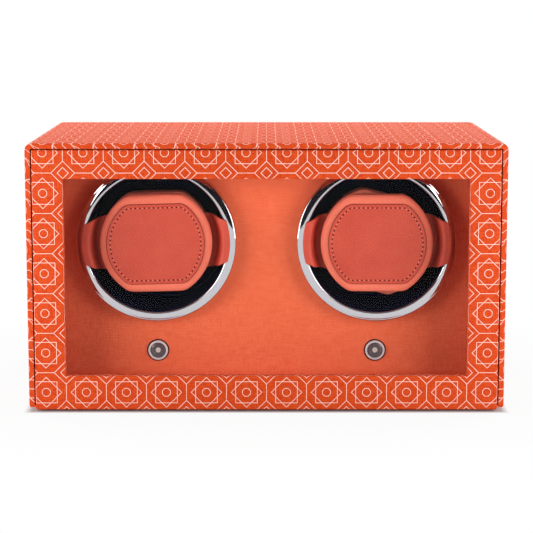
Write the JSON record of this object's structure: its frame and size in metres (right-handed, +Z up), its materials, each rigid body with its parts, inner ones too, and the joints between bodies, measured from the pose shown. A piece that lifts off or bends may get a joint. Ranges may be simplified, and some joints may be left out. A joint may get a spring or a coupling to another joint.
{
  "type": "watch winder box",
  "caption": "Box-shaped watch winder: two turning drums with cushioned cuffs and push buttons behind a lift-off cover with a glazed front.",
  "frame": {"origin": "on the ground under the middle of the closed box", "axes": "+X to the right across the width, +Y to the back, +Z up"},
  "size_m": [0.273, 0.165, 0.1547],
  "materials": {
    "cover_leather": "linen-grained leatherette with a fine printed line lattice",
    "glass": "clear tempered",
    "lining": "plain linen-grained leatherette",
    "rubber": "matt",
    "steel": "turned",
    "motor_can": "drawn and plated",
    "circuit_board": "solder mask",
    "black_plastic": "moulded",
    "nylon": "moulded",
    "bronze": "turned",
    "chrome": "polished",
    "smoke_plastic": "smoked translucent",
    "drum_black": "piano gloss",
    "suede": "microfibre suede",
    "smooth_leather": "smooth pebble-free leather, stitched edge"
  },
  "bodies": {
    "base": {"base_plate": "lining", "feet": "rubber", "base_screws": "steel", "faceplate": "lining", "block_left": "lining", "block_right": "lining", "block_top": "lining", "block_rear": "lining", "control_board": "circuit_board", "power_inlet": "black_plastic", "inlet_nut": "steel", "left_chassis": "nylon", "left_standoffs": "steel", "left_bush": "bronze", "left_motor": "motor_can", "left_button_bezel": "chrome", "left_button_switch": "smoke_plastic", "right_chassis": "nylon", "right_standoffs": "steel", "right_bush": "bronze", "right_motor": "motor_can", "right_button_bezel": "chrome", "right_button_switch": "smoke_plastic"},
    "cover": {"top_panel": "cover_leather", "left_panel": "cover_leather", "right_panel": "cover_leather", "rear_panel": "cover_leather", "front_frame": "cover_leather", "glass_pane": "glass", "glass_retainer": "lining", "rest_battens": "lining"},
    "left_rotor": {"left_drum": "drum_black", "left_bezel": "chrome", "left_gear": "nylon", "left_axle": "steel", "left_collar": "steel"},
    "left_pinion": {"left_pinion": "bronze"},
    "left_button": {"left_button": "smoke_plastic"},
    "left_cuff": {"left_cuff_pad": "suede", "left_cuff_patch": "smooth_leather", "left_cuff_carrier": "drum_black", "left_cuff_wings": "smooth_leather"},
    "left_cuff_rear": {"left_rear_pad": "suede"},
    "right_rotor": {"right_drum": "drum_black", "right_bezel": "chrome", "right_gear": "nylon", "right_axle": "steel", "right_collar": "steel"},
    "right_pinion": {"right_pinion": "bronze"},
    "right_button": {"right_button": "smoke_plastic"},
    "right_cuff": {"right_cuff_pad": "suede", "right_cuff_patch": "smooth_leather", "right_cuff_carrier": "drum_black", "right_cuff_wings": "smooth_leather"},
    "right_cuff_rear": {"right_rear_pad": "suede"}
  },
  "joints": [
    {"name": "cover_lift", "type": "slide", "parent": "base", "child": "cover", "axis": [0, 0, 1], "range_m": [0, 0.16]},
    {"name": "left_rotor_spin", "type": "hinge", "parent": "base", "child": "left_rotor", "pos_m": [-0.0647, 0, 0.0935], "axis": [0, 1, 0], "continuous": true},
    {"name": "left_pinion_spin", "type": "hinge", "parent": "base", "child": "left_pinion", "pos_m": [-0.0647, 0, 0.0559], "axis": [0, 1, 0], "continuous": true},
    {"name": "left_cuff_pull", "type": "slide", "parent": "left_rotor", "child": "left_cuff", "axis": [0, -1, 0], "range_m": [0, 0.016]},
    {"name": "left_rear_pad_turn", "type": "hinge", "parent": "left_cuff", "child": "left_cuff_rear", "pos_m": [-0.0647, -0.03, 0.0935], "axis": [0, 1, 0], "range_deg": [-20, 20]},
    {"name": "left_button_press", "type": "slide", "parent": "base", "child": "left_button", "axis": [0, 1, 0], "range_m": [0, 0.001], "stiffness_N_per_m": 800, "springref_m": -0.0005},
    {"name": "right_rotor_spin", "type": "hinge", "parent": "base", "child": "right_rotor", "pos_m": [0.0647, 0, 0.0935], "axis": [0, 1, 0], "continuous": true},
    {"name": "right_pinion_spin", "type": "hinge", "parent": "base", "child": "right_pinion", "pos_m": [0.0647, 0, 0.0559], "axis": [0, 1, 0], "continuous": true},
    {"name": "right_cuff_pull", "type": "slide", "parent": "right_rotor", "child": "right_cuff", "axis": [0, -1, 0], "range_m": [0, 0.016]},
    {"name": "right_rear_pad_turn", "type": "hinge", "parent": "right_cuff", "child": "right_cuff_rear", "pos_m": [0.0647, -0.03, 0.0935], "axis": [0, 1, 0], "range_deg": [-37, 3]},
    {"name": "right_button_press", "type": "slide", "parent": "base", "child": "right_button", "axis": [0, 1, 0], "range_m": [0, 0.001], "stiffness_N_per_m": 800, "springref_m": -0.0005}
  ],
  "couplings": [
    {"joint": "left_pinion_spin", "follows": "left_rotor_spin", "ratio": -4},
    {"joint": "right_pinion_spin", "follows": "right_rotor_spin", "ratio": -4}
  ]
}
